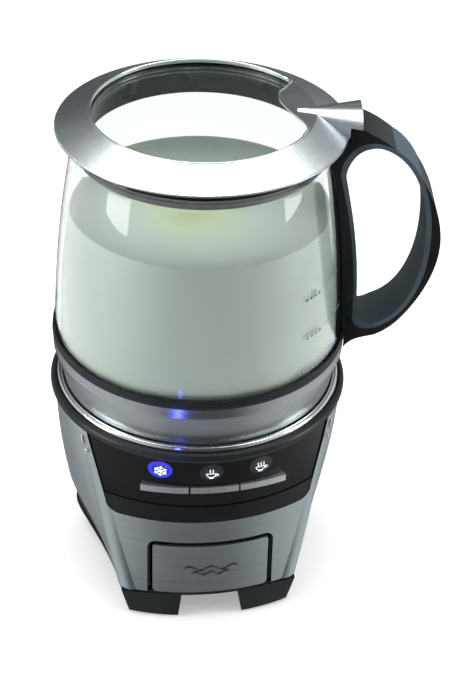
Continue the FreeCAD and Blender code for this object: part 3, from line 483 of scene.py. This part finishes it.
def finishes():
    """Every material, by name; made once."""
    if finishes.made:
        return finishes.made
    settings = bpy.context.scene.frother_finish
    steel = tuple(settings.steel)
    lid = tuple(settings.lid_steel)
    black = tuple(settings.black)
    made = {
        "wrap": brushed("wrap_steel", steel, (5, 5, 1500), (0.34, 0.46), 0.10),
        # The drawer's steel is the wrap's steel made a little lighter: painted light on the drawer front.
        "drawer": brushed("drawer_steel_lit", shade(steel, 1.06), (5, 5, 1500), (0.34, 0.46), 0.10),
        "cup": brushed("cup_steel", (0.52, 0.56, 0.57), (6, 6, 1300), (0.24, 0.36), 0.10),
        "lid": brushed("lid_steel", lid, (12, 1300, 1300), (0.27, 0.40), 0.13),
        "chrome": brushed("ring_chrome", (0.80, 0.82, 0.83), (8, 8, 500), (0.06, 0.12), 0.02, 0.01),
        "bead": brushed("bead_chrome", (0.86, 0.88, 0.88), (8, 8, 500), (0.10, 0.18), 0.02, 0.01),
        "silver": brushed("button_silver", (0.86, 0.88, 0.88), (500, 500, 30), (0.40, 0.50), 0.05, 0.02),
        "zinc": brushed("zinc_plate", (0.55, 0.56, 0.54), (900, 900, 900), (0.3, 0.5), 0.12),
        "aluminium": brushed("milled_aluminium", (0.72, 0.73, 0.74), (900, 40, 40), (0.25, 0.4), 0.08),
        "nickel": brushed("nickel_plate", (0.72, 0.70, 0.66), (60, 60, 60), (0.12, 0.22), 0.03, 0.01),
        "black": moulded("satin_black", black),
        "foot": moulded("foot_black", shade(black, 1.1), (0.42, 0.58), 1900, 0.12),
        "gloss": moulded("panel_gloss", shade(black, 0.4), (0.08, 0.14), 400, 0.004, 1.4, 0.12),
        "trim": moulded("trim_gloss", shade(black, 0.6), (0.20, 0.28), 900, 0.01, 1.4, 0.2),
        "frame": moulded("handle_black", shade(black, 0.9), (0.26, 0.36), 1800, 0.05),
        "grip": moulded("soft_grip", tuple(settings.grip), (0.50, 0.62), 2400, 0.12, 1.25),
        "rubber": moulded("pad_rubber", (0.018, 0.018, 0.018), (0.7, 0.85), 1500, 0.2),
        "seal": moulded("seal_silicone", (0.014, 0.016, 0.017), (0.45, 0.6), 1200, 0.08),
        "inner": moulded("inner_grey", (0.030, 0.031, 0.032), (0.45, 0.6), 1600, 0.12),
        "white": moulded("part_white", (0.68, 0.67, 0.62), (0.4, 0.55), 1500, 0.1, 1.1),
        "skirt": moulded("skirt_smoke", (0.050, 0.050, 0.050), (0.22, 0.34), 1200, 0.03, 1.5),
        "ferrite": moulded("ferrite", (0.035, 0.036, 0.038), (0.6, 0.75), 800, 0.3),
        "glass": clear_glass("jug_glass_clear", (0.955, 0.985, 0.965)),
        "pane": clear_glass("window_clear", (0.93, 0.97, 0.95)),
        "led": printed("led_body", (0.70, 0.72, 0.95)),
        "copper": wound("coil_copper", (0.72, 0.30, 0.14)),
        "board": circuit("board_green"),
        "milk": milk_finish(settings),
        "lens": lens_finish(settings),
        # The white symbols give off a faint glow though no lamp lights them: painted light.
        "symbol": printed("symbol_white_glow", (0.86, 0.89, 0.90), 0.55),
        "cold_symbol": printed("symbol_lit", (0.80, 0.86, 1.0), 1.6),
        "fill": printed("fill_blue_grey", (0.16, 0.24, 0.36)),
        "mark": printed("mark_black", (0.012, 0.014, 0.016)),
        "seam": printed("seam_grey", (0.10, 0.12, 0.13)),
    }
    finishes.made = made
    return made


finishes.made = {}
NODE_FINISH = {
    "wrap": ("steel_wrap",), "drawer": ("drawer_front",), "cup": ("jug_steel_cup",),
    "lid": ("lid_steel_cover",),
    "chrome": ("seat_ring",), "silver": ("button_cold", "button_warm", "button_hot"),
    "zinc": ("base_screws", "handle_screws", "drive_motor", "temperature_sensor"),
    "aluminium": ("heat_sink", "motor_shaft", "stirrer_pin"), "nickel": ("rotor_magnets", "disc_magnets"),
    "black": ("inner_housing", "top_collar", "cord_gland", "jug_band"),
    "foot": ("bottom_cover",), "gloss": ("control_panel",), "trim": ("panel_trim",),
    "frame": ("handle_frame", "lid_carrier_ring"), "grip": ("handle_grip",), "rubber": ("rubber_pads",),
    "seal": ("lid_seal", "jug_gasket"), "skirt": ("lid_skirt",),
    "inner": ("seat_well", "drawer_tray", "heating_disc", "cocoa_disc", "frothing_disc", "magnet_rotor",
              "tact_switches", "capacitors", "whisk_ring"),
    "white": ("coil_former", "motor_mount"), "ferrite": ("ferrite_bars",), "glass": ("jug_glass",),
    "pane": ("lid_window",), "lens": ("icon_lenses",), "led": ("indicator_lights",),
    "copper": ("induction_coil",), "board": ("control_board", "power_board"),
}


# ---------------------------------------------------------------- operators
class FROTHER_OT_finishes(bpy.types.Operator):
    """Gives every node of the frame its own finish"""
    bl_idname = "frother.finishes"
    bl_label = "Finishes"

    def execute(self, context):
        made = finishes()
        left = set(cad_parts)
        for key, nodes in NODE_FINISH.items():
            for node in nodes:
                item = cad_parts[node]
                item.data.materials.clear()
                item.data.materials.append(made[key])
                left.discard(node)
        if left:
            raise RuntimeError("nodes without a finish: " + ", ".join(sorted(left)))
        return {"FINISHED"}


class FROTHER_OT_milk(bpy.types.Operator):
    """Adds the milk, with the hollow that the turning disc draws in its surface"""
    bl_idname = "frother.milk"
    bl_label = "Milk"

    def execute(self, context):
        settings = context.scene.frother_milk
        level, dip = settings.level, settings.dip
        rings = [(radius * MM, height * MM) for radius, height in MILK_WALL]
        rings += [(radius * MM, level + drop * MM * dip / SURFACE_DIP) for radius, drop in MILK_SURFACE]
        piece = lathe("milk", rings, settings.sides, 80)
        finish_piece(piece, "jug", finishes()["milk"])
        return {"FINISHED"}


class FROTHER_OT_fill_marks(bpy.types.Operator):
    """Adds the level marks printed on the glass"""
    bl_idname = "frother.fill_marks"
    bl_label = "Fill marks"

    def execute(self, context):
        thick = context.scene.frother_details.print_thickness
        parts = []
        for height, radius, first, last in FILL_MARKS:
            parts.append(self.arc(radius * MM, height * MM, first, last, TICK_HEIGHT, thick))
            for step in range(4):
                start = first - 12 + step * 2.6
                parts.append(self.arc(radius * MM, (height - 0.9) * MM, start, start + 1.5, DASH_HEIGHT,
                                      thick))
        piece = join_pieces("fill_marks", parts)
        finish_piece(piece, "jug", finishes()["fill"])
        return {"FINISHED"}

    def arc(self, radius, height, first, last, wide, thick):
        """Printed strip round the glass between two angles."""
        deselect_all()
        start = turned_spot(radius, math.radians(first), height)
        bpy.ops.mesh.primitive_plane_add(size=1, location=start)
        piece = bpy.context.object
        piece.rotation_euler = (math.radians(90), 0, math.radians(first + 90))
        piece.scale = (0.00001, wide, 1)
        piece = start_piece("strip")
        bpy.ops.mesh.delete(type="ONLY_FACE")
        bpy.ops.mesh.select_all(action="SELECT")
        bpy.ops.mesh.remove_doubles(threshold=0.00005)
        bpy.ops.mesh.select_all(action="SELECT")
        bpy.ops.mesh.spin(steps=max(2, int((last - first) / 1.5)), angle=-math.radians(last - first),
                          center=(AXIS_X, AXIS_Y, 0), axis=(0, 0, 1))
        close_piece(piece, 0)
        solid = piece.modifiers.new("ink", "SOLIDIFY")
        solid.thickness = thick
        solid.offset = 0
        return apply_modifiers(piece)


class FROTHER_OT_symbols(bpy.types.Operator):
    """Adds the snowflake and the two cups over the buttons"""
    bl_idname = "frother.symbols"
    bl_label = "Symbols"

    def front(self, x):
        """Front of the panel at a distance from the middle, in the symbols' height."""
        return self.face + x ** 2 / PANEL_BEND

    def line(self, centre_x, points, radius):
        """Wire drawn on the panel's front: points are across and up from the symbol's middle."""
        detail = bpy.context.scene.frother_details
        placed = []
        for across, up in points:
            x = centre_x + across + detail.symbol_shift
            z = detail.symbol_height + up
            lean = (z - detail.symbol_height) * PANEL_LEAN
            placed.append(Vector((AXIS_X + x, self.front(x) - lean, z)))
        return tube_line("line", placed, radius, sides=1)

    def execute(self, context):
        detail = context.scene.frother_details
        lens_low, lens_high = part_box("icon_lenses")
        size = detail.symbol
        self.face = lens_low.y + 0.00005
        thin = SYMBOL_LINE
        flake = []
        for turn in range(6):
            angle = math.radians(90 + 60 * turn)
            tip = (size * math.cos(angle), size * math.sin(angle))
            flake.append(self.line(-detail.symbol_spacing, ((0.0, 0.0), tip), thin))
            for side in (-1, 1):
                bough = angle + side * math.radians(52)
                root = (tip[0] * 0.55, tip[1] * 0.55)
                end = (root[0] + size * 0.38 * math.cos(bough), root[1] + size * 0.38 * math.sin(bough))
                flake.append(self.line(-detail.symbol_spacing, (root, end), thin * 0.9))
        finish_piece(join_pieces("symbol_snowflake", flake), "base", finishes()["cold_symbol"])
        for name, index, steams in (("symbol_warm_cup", 0, 2), ("symbol_hot_cup", 1, 3)):
            finish_piece(join_pieces(name, self.cup(index * detail.symbol_spacing, size, steams, thin)),
                         "base", finishes()["symbol"])
        return {"FINISHED"}

    def cup(self, x, size, steams, thin):
        lines = [self.line(x, ((-size * 0.95, -size * 0.05), (size * 0.75, -size * 0.05)), thin)]
        bowl = [(-size * 0.85, -size * 0.05), (-size * 0.66, -size * 0.55), (-size * 0.1, -size * 0.8),
                (size * 0.46, -size * 0.55), (size * 0.65, -size * 0.05)]
        lines.append(self.line(x, bowl, thin))
        lines.append(self.line(x, ((-size * 0.42, -size * 0.98), (size * 0.28, -size * 0.98)), thin))
        ear = [(size * 0.62, -size * 0.2), (size * 0.98, -size * 0.16), (size * 0.92, -size * 0.46),
               (size * 0.48, -size * 0.52)]
        lines.append(self.line(x, ear, thin * 0.9))
        for i in range(steams):
            middle = (i - (steams - 1) / 2) * size * 0.46 - size * 0.08
            steam = [(middle - size * 0.05, size * 0.16), (middle + size * 0.08, size * 0.38),
                     (middle - size * 0.06, size * 0.62), (middle + size * 0.07, size * 0.86)]
            lines.append(self.line(x, steam, thin * 0.9))
        return lines


class FROTHER_OT_window_bead(bpy.types.Operator):
    """Adds the bright bead round the lid's window and the moulded mark inside it"""
    bl_idname = "frother.window_bead"
    bl_label = "Window bead"

    def execute(self, context):
        radius = context.scene.frother_details.bead
        around = []
        for i in range(61):
            angle = WINDOW_START + (WINDOW_END - WINDOW_START) * i / 60
            x, y = WINDOW_RADIUS * math.cos(angle), WINDOW_RADIUS * math.sin(angle)
            around.append(on_jug(x, y, WINDOW_HEIGHT))
        points = around + [on_jug(x, y, WINDOW_HEIGHT) for x, y in WINDOW_WAVE]
        piece = tube_line("window_bead", points, radius, closed=True)
        finish_piece(piece, "lid", finishes()["bead"])
        mark = []
        for first, last, low, tall in SKIRT_RIBS:
            middle = math.radians((first + last) / 2)
            wide = math.radians(last - first) * 50.0
            centre = on_jug(50.5 * math.cos(middle), 50.5 * math.sin(middle), low + tall / 2)
            turn = (0, 0, middle + JUG_TURN + math.pi / 2)
            mark.append(bar("rib", centre, (wide * MM, 0.0009, tall * MM), turn))
        finish_piece(join_pieces("skirt_rib", mark), "lid", finishes()["seam"])
        return {"FINISHED"}


class FROTHER_OT_panel_edges(bpy.types.Operator):
    """Adds the small bright clips at both ends of the control panel"""
    bl_idname = "frother.panel_edges"
    bl_label = "Panel clips"

    def execute(self, context):
        clips = []
        for side in (-1, 1):
            for x, y, z, long in PANEL_CLIPS:
                centre = (AXIS_X + side * x * MM, AXIS_Y + y * MM, z * MM)
                clips.append(bar("clip", centre, (0.0011, 0.0007, long * MM),
                                 (0, math.radians(side * 14), math.radians(side * 52)), 0.35))
        finish_piece(join_pieces("panel_clips", clips), "base", finishes()["bead"])
        return {"FINISHED"}


class FROTHER_OT_drawer_mark(bpy.types.Operator):
    """Adds a plain wave, engraved in black, on the drawer's front"""
    bl_idname = "frother.drawer_mark"
    bl_label = "Drawer mark"

    def execute(self, context):
        low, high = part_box("drawer_front")
        middle = (low.z + high.z) / 2 - 0.001
        lines = []
        for rise, wide, amount in DRAWER_WAVES:
            points = []
            for i in range(13):
                across = -wide + 2 * wide * i / 12
                z = middle + rise + amount * math.sin(i * math.pi / 2.4)
                y = low.y + 0.00012 + across ** 2 * DRAWER_BEND
                points.append(Vector((AXIS_X + across, y, z)))
            lines.append(tube_line("wave", points, 0.0003, sides=1))
        finish_piece(join_pieces("drawer_wave", lines), "drawer", finishes()["mark"])
        return {"FINISHED"}


class FROTHER_OT_whisk(bpy.types.Operator):
    """Adds the coiled whisk round the frothing disc in place of its plain ring"""
    bl_idname = "frother.whisk"
    bl_label = "Whisk"

    def execute(self, context):
        low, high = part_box("whisk_ring")
        middle = (low + high) / 2
        radius = (high.x - low.x) / 2 - (high.z - low.z) / 2
        count = context.scene.frother_details.whisk_coils
        coil = (high.z - low.z) / 2 - 0.0003
        deselect_all()
        bpy.ops.mesh.primitive_torus_add(major_radius=coil, minor_radius=0.00028, major_segments=20,
                                         minor_segments=6, location=(middle.x + radius, middle.y, middle.z),
                                         rotation=(math.radians(90), 0, 0))
        first = start_piece("coil")
        bpy.ops.transform.rotate(value=math.radians(14), orient_axis="X",
                                 center_override=(middle.x + radius, middle.y, middle.z))
        close_piece(first, 60)
        coils = [first]
        for i in range(1, count):
            deselect_all()
            first.select_set(True)
            bpy.context.view_layer.objects.active = first
            bpy.ops.object.duplicate(linked=False)
            copy = bpy.context.object
            bpy.ops.transform.rotate(value=2 * math.pi * i / count, orient_axis="Z",
                                     center_override=(middle.x, middle.y, middle.z))
            coils.append(settle(copy))
        piece = join_pieces("whisk_coil", coils)
        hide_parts("whisk_ring")
        finish_piece(piece, "disc", finishes()["nickel"])
        return {"FINISHED"}


class FROTHER_OT_stage(bpy.types.Operator):
    """Sets the pale floor, the soft lights and the camera"""
    bl_idname = "frother.stage"
    bl_label = "Stage"

    def light(self, name, place, target, size, power, colour=(1, 1, 1)):
        deselect_all()
        bpy.ops.object.light_add(type="AREA", location=place)
        lamp = bpy.context.object
        lamp.name = name
        lamp.data.shape = "RECTANGLE"
        lamp.data.size, lamp.data.size_y = size
        lamp.data.energy = power
        lamp.data.color = colour
        lamp.rotation_euler = (Vector(target) - Vector(place)).to_track_quat("-Z", "Y").to_euler()
        lamp.visible_camera = False
        return lamp

    def room(self, strength):
        """Dim room that is brighter to both sides and underneath."""
        world = bpy.data.worlds.new("dim_room")
        world.use_nodes = True
        tree = world.node_tree
        sky = tree.nodes["Background"]
        sky.inputs["Color"].default_value = (0.95, 0.97, 1.0, 1)
        way = tree.nodes.new("ShaderNodeSeparateXYZ")
        tree.links.new(tree.nodes.new("ShaderNodeTexCoord").outputs["Generated"], way.inputs[0])
        side = tree.nodes.new("ShaderNodeMath")
        side.operation = "ABSOLUTE"
        tree.links.new(way.outputs["X"], side.inputs[0])
        total = tree.nodes.new("ShaderNodeMath")
        total.operation = "ADD"
        for source, index, start, end, low, high in ((side.outputs[0], 0, 0.30, 0.75, 0.30, 2.4),
                                                     (way.outputs["Z"], 1, -0.70, -0.97, 0.0, 1.8)):
            band = tree.nodes.new("ShaderNodeMapRange")
            for key, value in (("From Min", start), ("From Max", end), ("To Min", low * strength),
                               ("To Max", high * strength)):
                band.inputs[key].default_value = value
            tree.links.new(source, band.inputs["Value"])
            tree.links.new(band.outputs["Result"], total.inputs[index])
        tree.links.new(total.outputs[0], sky.inputs["Strength"])
        return world

    def execute(self, context):
        settings = context.scene.frother_stage
        deselect_all()
        bpy.ops.mesh.primitive_plane_add(size=1, location=(0, 1.0, 0))
        floor = start_piece("floor")
        bpy.ops.transform.resize(value=(9, 9, 1), center_override=(0, 1.0, 0))
        close_piece(floor, 0)
        pale = Finish("pale_floor")
        cloud = pale.noise((3, 3, 3))
        pale.coloured(cloud, (0.86, 0.865, 0.865), (0.88, 0.885, 0.885))
        pale.uniform(Roughness=0.75, Emission_Color=(1, 1, 1, 1), Emission_Strength=settings.floor_glow)
        floor.data.materials.append(pale.material)
        floor.visible_glossy = False
        self.light("top_light", (0.0, 0.12, 1.15), (AXIS_X, 0, 0.1), (1.3, 0.7), settings.top_power)
        self.light("left_light", (-1.15, -0.25, 0.30), (AXIS_X, 0, 0.1), (0.5, 0.9), settings.top_power * 0.7)
        self.light("right_light", (1.15, -0.35, 0.30), (AXIS_X, 0, 0.1), (0.45, 0.9),
                   settings.top_power * 0.65)
        self.light("cold_light", (AXIS_X - 0.026, -0.088, 0.110), (AXIS_X - 0.026, -0.05, 0.122),
                   (0.004, 0.016), 0.0022, (0.1, 0.12, 1.0))
        context.scene.view_settings.view_transform = "Standard"
        context.scene.world = self.room(settings.room)
        deselect_all()
        bpy.ops.object.camera_add(location=settings.eye, rotation=settings.turn)
        camera = context.object
        camera.name = "camera"
        camera.data.lens = settings.lens
        camera.data.sensor_width = 36.0
        camera.data.clip_start = 0.01
        context.scene.camera = camera
        return {"FINISHED"}


STEPS = (FROTHER_OT_stage, FROTHER_OT_finishes, FROTHER_OT_milk, FROTHER_OT_fill_marks, FROTHER_OT_symbols,
         FROTHER_OT_window_bead, FROTHER_OT_panel_edges, FROTHER_OT_drawer_mark, FROTHER_OT_whisk)


class FROTHER_PT_sidebar(bpy.types.Panel):
    """Lists the frother's steps"""
    bl_idname = "FROTHER_PT_sidebar"
    bl_label = "Frother"
    bl_space_type = "VIEW_3D"
    bl_region_type = "UI"
    bl_category = "Frother"

    def draw(self, context):
        for step in STEPS:
            self.layout.operator(step.bl_idname)
        for group in (context.scene.frother_finish, context.scene.frother_milk, context.scene.frother_details,
                      context.scene.frother_stage):
            box = self.layout.box()
            for name in group.__annotations__:
                box.prop(group, name)


GROUPS = {"frother_finish": FrotherFinishSettings, "frother_milk": FrotherMilkSettings,
          "frother_details": FrotherDetailSettings, "frother_stage": FrotherStageSettings}


def register():
    for group in GROUPS.values():
        bpy.utils.register_class(group)
    for step in STEPS:
        bpy.utils.register_class(step)
    bpy.utils.register_class(FROTHER_PT_sidebar)
    for name, group in GROUPS.items():
        setattr(bpy.types.Scene, name, PointerProperty(type=group))


def unregister():
    for name in GROUPS:
        delattr(bpy.types.Scene, name)
    bpy.utils.unregister_class(FROTHER_PT_sidebar)
    for step in reversed(STEPS):
        bpy.utils.unregister_class(step)
    for group in reversed(list(GROUPS.values())):
        bpy.utils.unregister_class(group)


def main():
    register()
    for step in STEPS:
        group, name = step.bl_idname.split(".")
        getattr(getattr(bpy.ops, group), name)()
    deselect_all()


if __name__ == "__main__":
    main()
